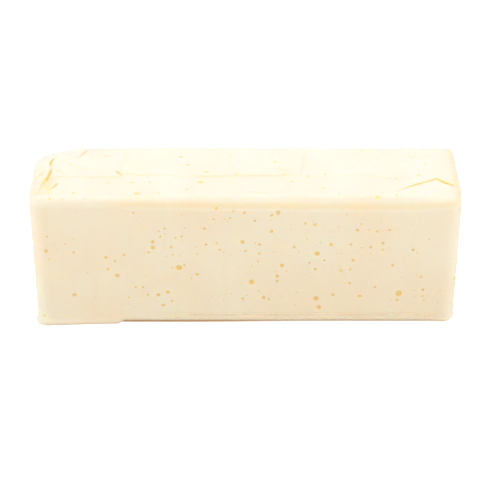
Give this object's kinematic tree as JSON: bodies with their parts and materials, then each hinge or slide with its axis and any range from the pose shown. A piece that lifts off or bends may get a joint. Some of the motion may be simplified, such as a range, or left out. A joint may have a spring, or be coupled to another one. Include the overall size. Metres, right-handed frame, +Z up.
{
  "type": "processed cheese loaf",
  "caption": "Long rectangular loaf of pale processed cheese with rounded edges, film fold prints on the top and ends, and small round gas eyes.",
  "frame": {"origin": "centre of the loaf's box on the surface that it rests on", "axes": "+X along the loaf to the right, -Y towards the front face that shows the most eyes, +Z up"},
  "size_m": [0.2858, 0.0818, 0.0972],
  "materials": {
    "cheese": "satin, slightly moist, pale cream, faintly translucent"
  },
  "bodies": {
    "root": {"loaf": "cheese"}
  },
  "joints": []
}
